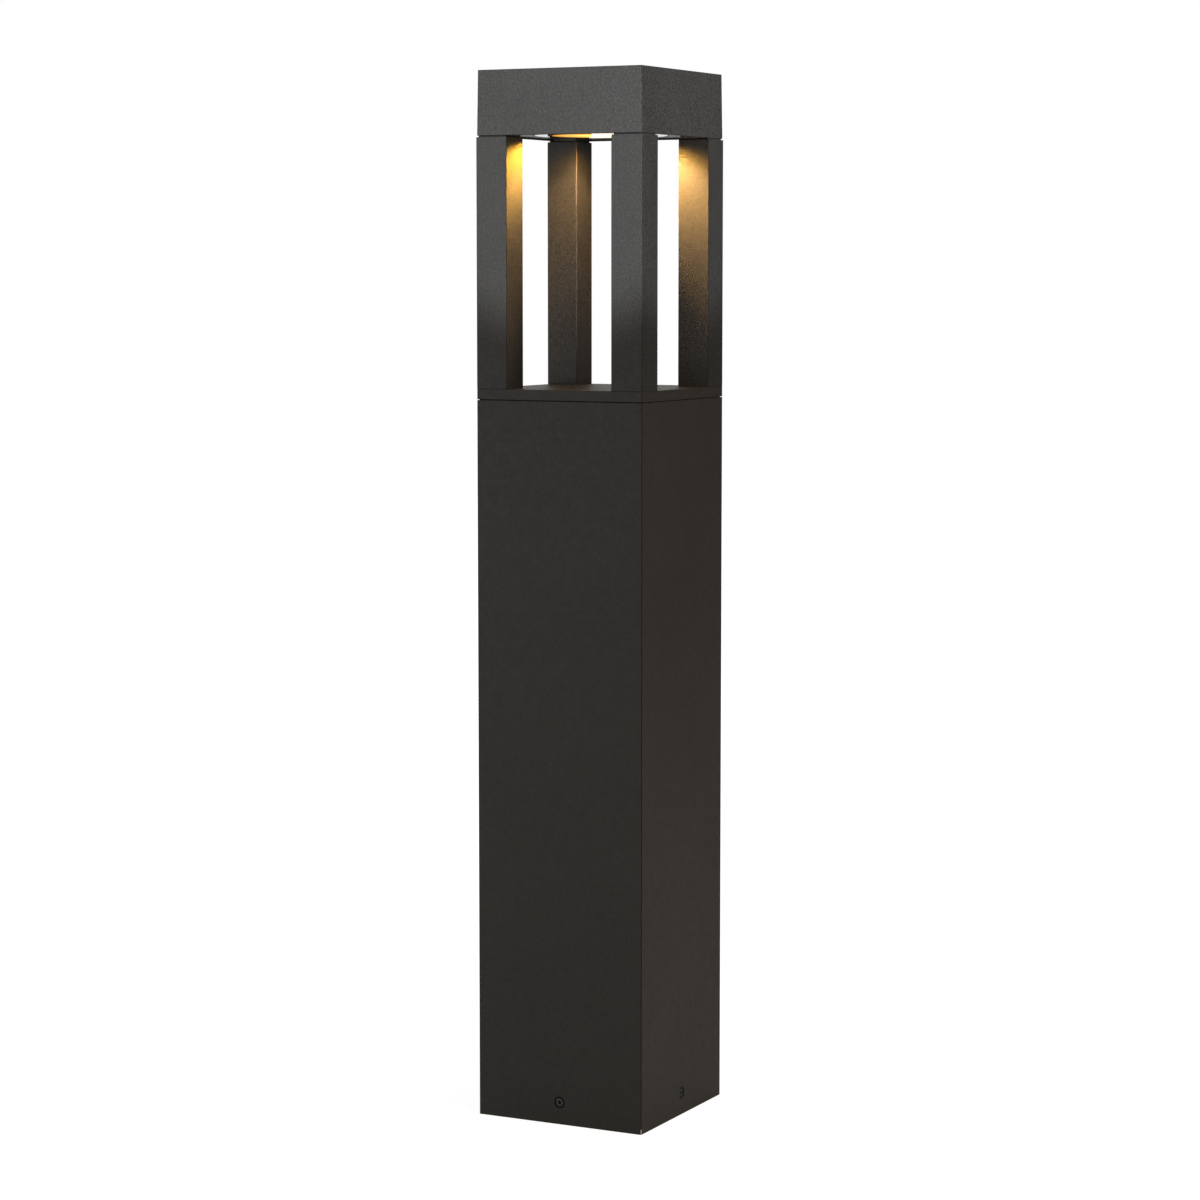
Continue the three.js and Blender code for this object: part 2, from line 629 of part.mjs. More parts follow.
/** The bent steel tray that stands on the mounting base. */
function gearTray() {
  const half = TRAY_WIDTH / 2;
  const footHalf = 25;
  const footTop = BASE_PLATE + TRAY_THICKNESS;
  const back = TRAY_FRONT + TRAY_THICKNESS;
  let tray = block([-half, TRAY_FRONT, 36], [half, back, TRAY_TOP]);
  tray = tray.add(block([-footHalf, TRAY_FRONT, BASE_PLATE], [footHalf, back, 40]));
  tray = tray.add(block([-footHalf, TRAY_FRONT, BASE_PLATE], [footHalf, TRAY_FRONT + 22, footTop]));
  for (const x of TRAY_SCREW_X) {
    const holeR = TRAY_SCREW_R + FIT;
    tray = tray.subtract(rod(x, TRAY_SCREW_Y, holeR, holeR, BASE_PLATE - 1, footTop + 1));
  }
  for (const z of DRIVER_SCREW_Z) {
    tray = tray.subtract(alongTray(rod(0, 0, GEAR_SCREW_R + FIT, GEAR_SCREW_R + FIT, -5, 1), 0, z));
  }
  return piece('gear_tray', tray, zincSteel);
}

/** Lays a solid made along Z so that it goes into the tray's front face at the given place. */
function alongTray(manifold, x, z) {
  return manifold.rotate([90, 0, 0]).translate([x, TRAY_FRONT, z]);
}

function trayScrews() {
  const headHeight = 3;
  const screw = capScrew(3.5, headHeight, TRAY_SCREW_R, 5, 3);
  return TRAY_SCREW_X.map((x, i) => {
    const placed = screw.translate([x, TRAY_SCREW_Y, BASE_PLATE + TRAY_THICKNESS + headHeight]);
    return piece(`tray_screw_${i + 1}`, placed, zincSteel);
  });
}

/** The LED driver: a long case with a fixing ear and a lead stub at each end. */
function ledDriver() {
  const half = DRIVER.width / 2;
  const front = GEAR_BACK - DRIVER.depth;
  const ear = 12; // half the width of a fixing ear, and how far it stands out
  const stubR = 4.5;
  let driver = block([-half, front, DRIVER.bottom], [half, GEAR_BACK, DRIVER.top]);
  const earPlate = block(
    [-ear, GEAR_BACK - DRIVER_EAR, DRIVER.bottom - ear],
    [ear, GEAR_BACK, DRIVER.top + ear],
  );
  driver = driver.add(earPlate);
  driver = driver.add(rod(0, DRIVER_MIDDLE, stubR, stubR, DRIVER.top - 1, DRIVER.top + DRIVER.stub));
  driver = driver.add(rod(0, DRIVER_MIDDLE, stubR, stubR, DRIVER.bottom - DRIVER.stub, DRIVER.bottom + 1));
  for (const z of DRIVER_SCREW_Z) {
    driver = driver.subtract(alongTray(rod(0, 0, GEAR_SCREW_R + FIT, GEAR_SCREW_R + FIT, -1, 6), 0, z));
  }
  return piece('led_driver', driver, greyPlastic);
}

function driverScrews() {
  const headHeight = 2.5;
  const headTop = FIT + DRIVER_EAR + headHeight;
  const screw = capScrew(3.5, headHeight, GEAR_SCREW_R, 7, 2.5).translate([0, 0, headTop]);
  return DRIVER_SCREW_Z.map((z, i) => piece(`driver_screw_${i + 1}`, alongTray(screw, 0, z), zincSteel));
}

/** The open-fronted terminal box with a gland hole in its floor and one in its roof. */
function terminalBox() {
  const half = BOX.width / 2;
  const front = GEAR_BACK - BOX.depth;
  let box = block([-half, front, BOX.bottom], [half, GEAR_BACK, BOX.top]);
  const hollow = block(
    [-half + BOX.wall, front - 1, BOX.bottom + BOX.wall],
    [half - BOX.wall, GEAR_BACK - BOX.wall, BOX.top - BOX.wall],
  );
  box = box.subtract(hollow);
  const outlets = [
    { x: SUPPLY_X, r: SUPPLY_NECK_R + FIT, z: BOX.bottom },
    { x: EARTH_OUTLET_X, r: EARTH_LEAD_R + 0.7, z: BOX.bottom },
    { x: 0, r: GLAND_NECK_R + FIT, z: BOX.top },
  ];
  for (const { x, r, z } of outlets) {
    box = box.subtract(rod(x, BOX_MIDDLE, r, r, z - 5, z + 5));
  }
  for (const x of LID_SCREW_X) {
    const post = alongTray(rod(0, 0, 4, 4, BOX.wall, BOX.depth), x, LID_SCREW_Z);
    const thread = alongTray(rod(0, 0, LID_HOLE_R, LID_HOLE_R, 8, BOX.depth + 1), x, LID_SCREW_Z);
    box = box.add(post).subtract(thread);
  }
  return piece('terminal_box', box, greyPlastic);
}

function terminalBoxLid() {
  const half = BOX.width / 2;
  const back = GEAR_BACK - BOX.depth - FIT;
  let lid = block([-half, back - BOX.lid, BOX.bottom], [half, back, BOX.top]);
  const headHeight = 1.8;
  const headTop = BOX.depth + 2 * FIT + BOX.lid + headHeight + FIT;
  const screw = capScrew(2.8, headHeight, LID_SCREW_R, BOX.lid + 12, 2).translate([0, 0, headTop]);
  const screws = LID_SCREW_X.map((x, i) =>
    piece(`lid_screw_${i + 1}`, alongTray(screw, x, LID_SCREW_Z), zincSteel),
  );
  for (const x of LID_SCREW_X) {
    const hole = rod(0, 0, LID_HOLE_R, LID_HOLE_R, BOX.depth - 2, BOX.depth + 8);
    lid = lid.subtract(alongTray(hole, x, LID_SCREW_Z));
  }
  return [piece('terminal_box_lid', lid, greyPlastic), ...screws];
}

/** A three-way block with a row of upright wire entries. */
function terminalBlock() {
  const back = GEAR_BACK - BOX.wall - FIT;
  const [width, depth, height, entryR] = [32, 14, 18, 2.2];
  const [bottom, top] = [LID_SCREW_Z - height / 2, LID_SCREW_Z + height / 2];
  let strip = block([-width / 2, back - depth, bottom], [width / 2, back, top]);
  for (const x of [-10, 0, 10]) {
    strip = strip.subtract(rod(x, back - depth / 2, entryR, entryR, bottom - 1, top + 1, 12));
  }
  return piece('terminal_block', strip, boardWhite);
}

/** The gland that the supply cable enters from below, and the one for the driver's lead. */
function boxGlands() {
  const supplyPlace = [SUPPLY_X, BOX_MIDDLE, BOX.bottom];
  const supply = gland(SUPPLY_NECK_R, 9, 4.2, 0, 5, 18).rotate([180, 0, 0]).translate(supplyPlace);
  const driver = gland(GLAND_NECK_R, 6, DRIVER_LEAD_R, 0, 5, 10).translate([0, BOX_MIDDLE, BOX.top]);
  return [piece('supply_gland', supply, blackPlastic), piece('driver_gland', driver, blackPlastic)];
}

/** The leads inside: terminal box to driver, driver to lamp, terminal box to earth screw. */
function leads() {
  const driverLead = [
    [0, BOX_MIDDLE, BOX.top - 8],
    [0, BOX_MIDDLE, BOX.top + 14],
    [0, DRIVER_MIDDLE, DRIVER.bottom - 20],
    [0, DRIVER_MIDDLE, DRIVER.bottom - DRIVER.stub - FIT],
  ];
  const corner = [leadCorner.x * LEAD_CENTRE, leadCorner.y * LEAD_CENTRE];
  const glandX = leadSide * (HOUSING_R + 9);
  const lampLead = [
    [0, DRIVER_MIDDLE, DRIVER.top + DRIVER.stub + FIT],
    [0, DRIVER_MIDDLE, DRIVER.top + 30],
    [10, DRIVER_MIDDLE + 6, DRIVER.top + 80],
    [38, 38, FLANGE_BOTTOM - 110],
    [corner[0] - 1, corner[1] - 1, FLANGE_BOTTOM - 50],
    [...corner, FLANGE_BOTTOM - 20],
    [...corner, FLOOR_TOP + 60],
    [...corner, POST_TOP - 40],
    [...corner, LAMP_PLATE_TOP + 2],
    [corner[0] - 1.6, corner[1] - 1.6, LAMP_GLAND_Z - 5],
    [corner[0] - 6, corner[1] - 6, LAMP_GLAND_Z - 0.4],
    [glandX, glandX, LAMP_GLAND_Z],
    [leadSide * (HOUSING_R - 6), leadSide * (HOUSING_R - 6), LAMP_GLAND_Z],
  ];
  const earthLead = [
    [EARTH_OUTLET_X, BOX_MIDDLE, BOX.bottom + 8],
    [EARTH_OUTLET_X, BOX_MIDDLE, BOX.bottom - 8],
    [EARTH.x, EARTH.y - EARTH.barrel, EARTH_BARREL_TOP + 14],
    [EARTH.x, EARTH.y - EARTH.barrel, EARTH_BARREL_TOP + FIT],
  ];
  return [
    piece('driver_lead', lead(driverLead, DRIVER_LEAD_R, 10), leadJacket),
    piece('lamp_lead', lead(lampLead, LEAD_R, 60), leadJacket),
    piece('earth_lead', lead(earthLead, EARTH_LEAD_R, 14), earthJacket),
  ];
}

/** The ring terminal on the mounting base and the hexagon screw that holds it. */
function earthPoint() {
  const [bottom, top] = [BASE_PLATE, BASE_PLATE + 1];
  let terminal = rod(EARTH.x, EARTH.y, 5, 5, bottom, top);
  const barrelY = EARTH.y - EARTH.barrel;
  terminal = terminal.add(block([EARTH.x - 2, barrelY, bottom], [EARTH.x + 2, EARTH.y - 4, top]));
  terminal = terminal.add(rod(EARTH.x, barrelY, EARTH.barrelR, EARTH.barrelR, bottom, EARTH_BARREL_TOP, 12));
  const holeR = EARTH.r + FIT;
  terminal = terminal.subtract(rod(EARTH.x, EARTH.y, holeR, holeR, bottom - 1, top + 1));
  let screw = hexPrism(8, top, top + 4);
  screw = screw.add(rod(0, 0, EARTH.r, EARTH.r, 2, top + 1)).translate([EARTH.x, EARTH.y, 0]);
  return [piece('earth_terminal', terminal, zincSteel), piece('earth_screw', screw, zincSteel)];
}

// ---------------------------------------------------------------- assembly

const lamp = new THREE.Group();
lamp.add(
  topCap(),
  lampPlate(),
  lensGlassDisc(),
  ...lensSeals(),
  lampRing(),
  lampHousing(),
  heatSink(),
  lampGland(),
  ...housingScrews(),
  ...ledBoard(),
  reflector(),
);

const lantern = new THREE.Group();
lantern.add(floorPlate(), ...cornerPosts(), ...postGaskets(), ...tieRods());

const column = new THREE.Group();
column.add(columnTube(), mountingBase(), ...sideScrews(), columnFlange(), columnGasket());

const gear = new THREE.Group();
gear.add(
  gearTray(),
  ...trayScrews(),
  ledDriver(),
  ...driverScrews(),
  terminalBox(),
  ...terminalBoxLid(),
  terminalBlock(),
  ...boxGlands(),
  ...leads(),
  ...earthPoint(),
);

const bollard = new THREE.Group();
bollard.add(column, gear, lantern, lamp);

export default bollard;
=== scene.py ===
"""Looks of the square bollard light: powder-coated shells, lens, screws and the studio round them."""

import json
import math

import bmesh
import bpy
from mathutils import Matrix, Vector

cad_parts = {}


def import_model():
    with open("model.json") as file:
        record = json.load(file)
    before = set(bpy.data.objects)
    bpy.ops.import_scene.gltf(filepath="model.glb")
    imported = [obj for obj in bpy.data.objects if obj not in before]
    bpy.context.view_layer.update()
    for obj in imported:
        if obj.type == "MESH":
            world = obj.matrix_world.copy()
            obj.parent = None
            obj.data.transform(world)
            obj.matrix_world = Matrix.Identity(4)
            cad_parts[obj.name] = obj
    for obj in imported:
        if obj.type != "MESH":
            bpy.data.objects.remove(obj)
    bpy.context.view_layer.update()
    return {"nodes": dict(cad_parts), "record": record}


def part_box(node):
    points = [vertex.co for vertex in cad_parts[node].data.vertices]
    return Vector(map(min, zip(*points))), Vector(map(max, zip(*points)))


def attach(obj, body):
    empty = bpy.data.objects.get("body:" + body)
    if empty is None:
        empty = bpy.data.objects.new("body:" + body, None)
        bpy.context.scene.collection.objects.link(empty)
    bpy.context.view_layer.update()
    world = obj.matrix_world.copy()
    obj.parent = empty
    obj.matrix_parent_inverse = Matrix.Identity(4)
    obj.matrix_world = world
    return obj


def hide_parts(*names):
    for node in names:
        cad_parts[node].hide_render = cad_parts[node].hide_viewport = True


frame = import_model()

MM = 0.001
CORNERS = {"front_left": (-1, -1), "front_right": (1, -1), "rear_right": (1, 1), "rear_left": (-1, 1)}
SIDES = {"front": 0.0, "right": 90.0, "rear": 180.0, "left": -90.0}  # degrees about Z from the front face

COLUMN_LOW, COLUMN_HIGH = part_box("column_tube")
FOOT_CORNER = (COLUMN_HIGH.x, COLUMN_LOW.y, COLUMN_LOW.z)
GLASS_LOW, GLASS_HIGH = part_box("lens_glass")
LENS_CENTRE = (0.0, 0.0, GLASS_LOW.z)
GLASS_WINDOW_R = 51 * MM  # the part of the glass that fills the lamp plate's opening
CLEAR_WINDOW_R = 37.5 * MM  # the part of it inside the printed border


# ---------------------------------------------------------------- mesh helpers

CORNER_STEPS = 5  # straight stretches in each rounded corner of a square outline
SCREW_SIDES = 48
GLASS_SIDES = 128
SHARP_ANGLE = math.radians(28)


def square_loop(half, radius, z, centre=(0.0, 0.0)):
    """Points of a rounded square, anticlockwise seen from above."""
    points = []
    for quarter in range(4):
        side_x = 1 if quarter in (0, 3) else -1
        side_y = 1 if quarter in (0, 1) else -1
        for i in range(CORNER_STEPS + 1):
            angle = (quarter + i / CORNER_STEPS) * math.pi / 2
            x = centre[0] + side_x * (half - radius) + radius * math.cos(angle)
            y = centre[1] + side_y * (half - radius) + radius * math.sin(angle)
            points.append(Vector((x, y, z)))
    return points


def round_loop(radius, z, sides):
    """Points of a circle about the Z axis."""
    turn = 2 * math.pi / sides
    return [Vector((radius * math.cos(i * turn), radius * math.sin(i * turn), z)) for i in range(sides)]


def to_object(name, bm):
    """Puts a finished bmesh into the scene as an object."""
    mesh = bpy.data.meshes.new(name)
    bm.to_mesh(mesh)
    bm.free()
    obj = bpy.data.objects.new(name, mesh)
    bpy.context.scene.collection.objects.link(obj)
    return obj


def loft(name, loops, closed=False):
    """An object skinned through loops of equal length. Its ends are capped, or joined when closed."""
    bm = bmesh.new()
    rows = [[bm.verts.new(point) for point in loop] for loop in loops]
    pairs = list(zip(rows, rows[1:]))
    if closed:
        pairs.append((rows[-1], rows[0]))
    for below, above in pairs:
        count = len(below)
        for i in range(count):
            j = (i + 1) % count
            bm.faces.new((below[i], below[j], above[j], above[i]))
    if not closed:
        bm.faces.new(reversed(rows[0]))
        bm.faces.new(rows[-1])
    bmesh.ops.recalc_face_normals(bm, faces=bm.faces)
    return to_object(name, bm)


def turned(name, profile, sides, unit=1.0, closed=False):
    """An object turned about the Z axis from a profile of (radius, height)."""
    return loft(name, [round_loop(radius * unit, z * unit, sides) for radius, z in profile], closed)


def baked(obj):
    """Replaces an object's mesh by what its modifiers make of it."""
    graph = bpy.context.evaluated_depsgraph_get()
    mesh = bpy.data.meshes.new_from_object(obj.evaluated_get(graph))
    obj.modifiers.clear()
    obj.data = mesh


def cut(obj, cutters):
    """Subtracts the cutters from an object and removes them."""
    for cutter in cutters:
        step = obj.modifiers.new("cut", "BOOLEAN")
        step.operation = "DIFFERENCE"
        step.solver = "EXACT"
        step.object = cutter
    baked(obj)
    for cutter in cutters:
        bpy.data.objects.remove(cutter)


def finish_edges(obj):
    """Smooth faces with sharp edges kept, and normals that keep flat faces flat."""
    bm = bmesh.new()
    bm.from_mesh(obj.data)
    for face in bm.faces:
        face.smooth = True
    for edge in bm.edges:
        edge.smooth = len(edge.link_faces) == 2 and edge.calc_face_angle(0.0) < SHARP_ANGLE
    bm.to_mesh(obj.data)
    bm.free()
    weighted = obj.modifiers.new("flat_faces", "WEIGHTED_NORMAL")
    weighted.keep_sharp = True


def dress(obj, finish, nodes=()):
    """Gives a new piece its material and its body, and hides the CAD nodes it stands for."""
    obj.data.materials.clear()
    obj.data.materials.append(finish)
    finish_edges(obj)
    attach(obj, "root")
    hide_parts(*nodes)


# ---------------------------------------------------------------- material helpers


class Nodes:
    """A short way to write a node tree."""

    def __init__(self, tree):
        self.tree = tree

    def add(self, kind, inputs=None, **settings):
        node = self.tree.nodes.new(kind)
        for key, value in settings.items():
            setattr(node, key, value)
        for key, value in (inputs or {}).items():
            self.set(node, key, value)
        return node

    def set(self, node, key, value):
        socket = node.inputs[key]
        if isinstance(value, bpy.types.NodeSocket):
            self.tree.links.new(value, socket)
        else:
            socket.default_value = value

    def math(self, operation, a, b):
        return self.add("ShaderNodeMath", {0: a, 1: b}, operation=operation).outputs[0]

    def vector(self, operation, a, b=(0, 0, 0), output="Vector"):
        return self.add("ShaderNodeVectorMath", {0: a, 1: b}, operation=operation).outputs[output]

    def noise(self, place, size, detail=3.0, roughness=0.5):
        inputs = {"Vector": place, "Scale": 1.0 / size, "Detail": detail, "Roughness": roughness}
        return self.add("ShaderNodeTexNoise", inputs).outputs["Fac"]

    def spread(self, value, low, high, new_low=0.0, new_high=1.0):
        """The value, stretched and held so that low gives new_low and high gives new_high."""
        inputs = {"Value": value, "From Min": low, "From Max": high, "To Min": new_low, "To Max": new_high}
        return self.add("ShaderNodeMapRange", inputs).outputs["Result"]

    def blend(self, factor, a, b):
        node = self.add("ShaderNodeMix", data_type="RGBA")
        for key, value in ((0, factor), (6, a), (7, b)):
            self.set(node, key, value)
        return node.outputs[2]

    def bump(self, height, strength, distance, normal=None):
        inputs = {"Height": height, "Strength": strength, "Distance": distance}
        if normal is not None:
            inputs["Normal"] = normal
        return self.add("ShaderNodeBump", inputs).outputs["Normal"]

    def place(self):
        return self.add("ShaderNodeTexCoord").outputs["Object"]


def material(name):
    """A new material with one Principled shader, and the means to write its nodes."""
    made = bpy.data.materials.new(name)
    made.use_nodes = True
    made.node_tree.nodes.clear()
    nodes = Nodes(made.node_tree)
    shader = nodes.add("ShaderNodeBsdfPrincipled")
    output = nodes.add("ShaderNodeOutputMaterial")
    made.node_tree.links.new(shader.outputs[0], output.inputs["Surface"])
    return made, nodes, shader


def rgba(colour, level=1.0):
    return tuple(level * part for part in colour) + (1.0,)


def corner_mask(nodes):
    """One on the rounded edges of a square piece and nought on its flat faces.

    The largest part of the surface's own normal is 1 on a face and 0.7 half way round an edge.
    """
    facing = nodes.add("ShaderNodeTexCoord").outputs["Normal"]
    parts = nodes.add("ShaderNodeSeparateXYZ", {0: nodes.vector("ABSOLUTE", facing)}).outputs
    largest = nodes.math("MAXIMUM", nodes.math("MAXIMUM", parts[0], parts[1]), parts[2])
    return nodes.spread(largest, 0.985, 0.86)


def worn_mask(nodes, radius):
    """One along sharp edges and nought on flat faces, from how far a rounded normal leaves the true one."""
    soft = nodes.add("ShaderNodeBevel", {"Radius": radius}, samples=4).outputs[0]
    true = nodes.add("ShaderNodeNewGeometry").outputs["True Normal"]
    return nodes.spread(nodes.vector("DOT_PRODUCT", soft, true, "Value"), 0.995, 0.86)


# ---------------------------------------------------------------- materials

# Painted shade on the coat's edges, as a share of its darker colour.
EDGE_SHADE = 0.1  # of the coat's darker colour, on its edges
MATT = 0.95
# Painted highlight of the lamp's light on edges near the lens: its colour, and a lower roughness that gives
# real gloss there.
PAINTED_GLEAM_COLOUR = (0.09, 0.07, 0.05)
GLEAM_ROUGHNESS = 0.38
BARE_METAL = (0.62, 0.61, 0.59)
CHIP_REACH = 4.5 * MM  # how far the bare chip reaches along the edges from the foot's front corner
NO_REACH = 1 * MM  # no edge is this near to the lens's centre


def powder_coat(name, dark, light, roughness, grain_mm, depth_mm, ior, gleam_reach=NO_REACH):
    """Powder coat: fine grain, speckles, faint mottling, painted shade on its edges and one chipped corner
    at the foot.

    Edges within the given reach of the lens's centre get a painted highlight of the lamp's light there
    instead of painted shade: a lighter warm colour, with a lower roughness that gives real gloss.
    """
    made, nodes, shader = material(name)
    place = nodes.place()
    grain = nodes.noise(place, grain_mm * MM, 2.0, 0.55)
    speckle = nodes.noise(place, 2.1 * grain_mm * MM, 2.0, 0.6)
    peel = nodes.noise(place, 6 * MM, 3.0, 0.5)
    cloud = nodes.noise(place, 90 * MM, 4.0, 0.6)
    fine = nodes.math("ADD", nodes.math("MULTIPLY", grain, 0.4), nodes.math("MULTIPLY", speckle, 0.4))
    tone = nodes.math("ADD", fine, nodes.math("MULTIPLY", cloud, 0.2))
    coat = nodes.blend(nodes.spread(tone, 0.42, 0.58), rgba(dark), rgba(light))

    edge = corner_mask(nodes)
    from_lens = nodes.vector("DISTANCE", place, LENS_CENTRE, "Value")
    lamp_gleam = nodes.math("MULTIPLY", edge, nodes.spread(from_lens, gleam_reach, 0.8 * gleam_reach))
    sharp = nodes.math("SUBTRACT", edge, lamp_gleam)
    painted_edge_shade = nodes.math("MULTIPLY", sharp, nodes.spread(peel, 0.3, 0.7, 0.8, 1.0))
    from_foot = nodes.vector("DISTANCE", place, FOOT_CORNER, "Value")
    chip = nodes.math("MULTIPLY", nodes.spread(from_foot, CHIP_REACH, CHIP_REACH - 1 * MM), edge)
    # Painted shade darkens the sharp edges, a little unevenly.
    edge_shaded_coat = nodes.blend(painted_edge_shade, coat, rgba(dark, EDGE_SHADE))
    # Near the lens the edges get a painted highlight of the lamp's light instead of the painted shade.
    painted = nodes.blend(lamp_gleam, edge_shaded_coat, rgba(PAINTED_GLEAM_COLOUR))
    nodes.set(shader, "Base Color", nodes.blend(chip, painted, rgba(BARE_METAL)))

    texture = nodes.math("ADD", nodes.math("MULTIPLY", grain, 0.6), nodes.math("MULTIPLY", peel, 0.4))
    face = nodes.spread(texture, 0.3, 0.7, roughness - 0.06, roughness + 0.07)
    matt_edges = nodes.spread(sharp, 0.0, 1.0, face, MATT)
    nodes.set(shader, "Roughness", nodes.spread(lamp_gleam, 0.0, 1.0, matt_edges, GLEAM_ROUGHNESS))
    shader.inputs["IOR"].default_value = ior
    grainy = nodes.bump(fine, 0.6, depth_mm * MM)
    nodes.set(shader, "Normal", nodes.bump(peel, 0.12, 0.25 * MM, grainy))
    return made


def screw_steel():
    """Blackened stainless steel with turning marks and lighter edges."""
    made, nodes, shader = material("blackened_steel")
    brushed = nodes.noise(nodes.place(), 0.35 * MM, 4.0, 0.7)
    dark, light, worn = (0.055, 0.054, 0.052), (0.12, 0.118, 0.113), (0.2, 0.195, 0.185)
    colour = nodes.blend(nodes.spread(brushed, 0.35, 0.65), rgba(dark), rgba(light))
    nodes.set(shader, "Base Color", nodes.blend(worn_mask(nodes, 0.25 * MM), colour, rgba(worn)))
    nodes.set(shader, "Roughness", nodes.spread(brushed, 0.3, 0.7, 0.36, 0.52))
    nodes.set(shader, "Normal", nodes.bump(brushed, 0.25, 0.05 * MM))
    shader.inputs["Metallic"].default_value = 1.0
    return made


def metal(name, colour, roughness, grain_mm):
    """Plain bare or plated metal for the pieces inside."""
    made, nodes, shader = material(name)
    grain = nodes.noise(nodes.place(), grain_mm * MM, 5.0, 0.65)
    tone = nodes.spread(grain, 0.3, 0.7)
    nodes.set(shader, "Base Color", nodes.blend(tone, rgba(colour, 0.78), rgba(colour)))
    nodes.set(shader, "Roughness", nodes.spread(grain, 0.3, 0.7, roughness - 0.08, roughness + 0.1))
    nodes.set(shader, "Normal", nodes.bump(grain, 0.2, 0.1 * MM))
    shader.inputs["Metallic"].default_value = 1.0
    return made


def moulded(name, colour, roughness, grain_mm):
    """Rubber, nylon or another moulded plastic with a fine spark-eroded grain."""
    made, nodes, shader = material(name)
    grain = nodes.noise(nodes.place(), grain_mm * MM, 3.0, 0.6)
    tone = nodes.spread(grain, 0.3, 0.7)
    nodes.set(shader, "Base Color", nodes.blend(tone, rgba(colour, 0.8), rgba(colour)))
    nodes.set(shader, "Roughness", nodes.spread(grain, 0.3, 0.7, roughness - 0.06, roughness + 0.08))
    nodes.set(shader, "Normal", nodes.bump(grain, 0.3, 0.1 * MM))
    return made


def lens_material():
    """Polished glass with a printed border and a frosted window that glows warm."""
    made, nodes, shader = material("lens")
    place = nodes.place()
    radius = nodes.vector("LENGTH", nodes.vector("MULTIPLY", place, (1, 1, 0)), output="Value")
    window = nodes.spread(radius, CLEAR_WINDOW_R + 0.6 * MM, CLEAR_WINDOW_R - 0.6 * MM)
    frost = nodes.noise(place, 0.5 * MM, 2.0, 0.5)
    border, frosted = (0.006, 0.006, 0.0065), (0.55, 0.4, 0.2)
    nodes.set(shader, "Base Color", nodes.blend(window, rgba(border), rgba(frosted)))
    core = nodes.spread(radius, 1.02 * CLEAR_WINDOW_R, 0.35 * CLEAR_WINDOW_R)
    amber, gold = (1.0, 0.4, 0.04), (1.0, 0.72, 0.17)
    nodes.set(shader, "Emission Color", nodes.blend(core, rgba(amber), rgba(gold)))
    painted_edge_shade = nodes.spread(frost, 0.3, 0.7, 0.9, 1.1)
    level = nodes.math("MULTIPLY", nodes.spread(core, 0.0, 1.0, 0.75, 1.5), painted_edge_shade)
    nodes.set(shader, "Emission Strength", nodes.math("MULTIPLY", window, level))
    nodes.set(shader, "Roughness", nodes.spread(frost, 0.3, 0.7, 0.03, 0.07))
    shader.inputs["IOR"].default_value = 1.5
    return made


# ---------------------------------------------------------------- column and floor plate

COLUMN_CORNER = 0.9 * MM
COLUMN_EDGE = 0.35 * MM
# Profiles about a screw's axis: (radius, height over the column's face) in mm.
RECESS = ((2.4, -5.0), (2.4, -2.4), (4.3, -1.3), (4.3, -0.2), (4.5, 0.0), (4.5, 2.0))
SCREW = ((2.0, -12.0), (2.0, -2.4), (3.5, -1.3), (3.6, -1.1), (3.5, -0.7), (3.3, -0.4), (3.0, -0.25))
SOCKET = ((1.443, -2.2), (1.443, -0.35), (1.55, -0.2), (1.55, 1.0))


def soft_block(half, corner, edge, bottom, top, centre=(0.0, 0.0)):
    """Loops from the bottom up round a square block with rounded corners and softened rims."""
    steps = (
        (edge, bottom),
        (0.3 * edge, bottom + 0.3 * edge),
        (0.0, bottom + edge),
        (0.0, top - edge),
        (0.3 * edge, top - 0.3 * edge),
        (edge, top),
    )
    return [square_loop(half - inset, corner - inset, z, centre) for inset, z in steps]


def tube_shell(name, node, wall, corner, edge):
    """A square tube with rounded corners and softened rims, filling its CAD node's box."""
    low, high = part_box(node)
    half = (high.x - low.x) / 2
    centre = ((low.x + high.x) / 2, (low.y + high.y) / 2)
    loops = soft_block(half, corner, edge, low.z, high.z, centre)
    loops += [square_loop(half - wall, corner, z, centre) for z in (high.z, low.z)]
    return loft(name, loops, closed=True)


def onto_face(side):
    """Carries a shape made about the Z axis to the foot screw of one of the column's faces, pointing out."""
    low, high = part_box(f"side_screw_{side}")
    to_front = Matrix.Translation((0, -COLUMN_HIGH.x, (low.z + high.z) / 2))
    pointing_out = Matrix.Rotation(math.radians(90), 4, "X")
    round_to_side = Matrix.Rotation(math.radians(SIDES[side]), 4, "Z")
    return round_to_side @ to_front @ pointing_out


def column(coat):
    shell = tube_shell("column_shell", "column_tube", 3 * MM, COLUMN_CORNER, COLUMN_EDGE)
    recesses = []
    for side in SIDES:
        recess = turned("recess", RECESS, SCREW_SIDES, MM)
        recess.data.transform(onto_face(side))
        recesses.append(recess)
    cut(shell, recesses)
    dress(shell, coat, ["column_tube"])


def side_screw(side, steel):
    """A countersunk screw with a hexagon socket and a chamfered rim."""
    node = f"side_screw_{side}"
    screw = turned(f"{node}_detail", SCREW, SCREW_SIDES, MM)
    cut(screw, [turned("socket", SOCKET, 6, MM)])
    screw.data.transform(onto_face(side))
    dress(screw, steel, [node])


def floor_plate(coat):
    low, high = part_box("floor_plate")
    loops = soft_block(high.x, COLUMN_CORNER, COLUMN_EDGE, low.z, high.z)
    dress(loft("floor_plate_shell", loops), coat, ["floor_plate"])


# ---------------------------------------------------------------- lantern


def posts(coat):
    for corner in CORNERS:
        node = f"post_{corner}"
        dress(tube_shell(f"{node}_shell", node, 2.5 * MM, 0.7 * MM, 0.3 * MM), coat, [node])


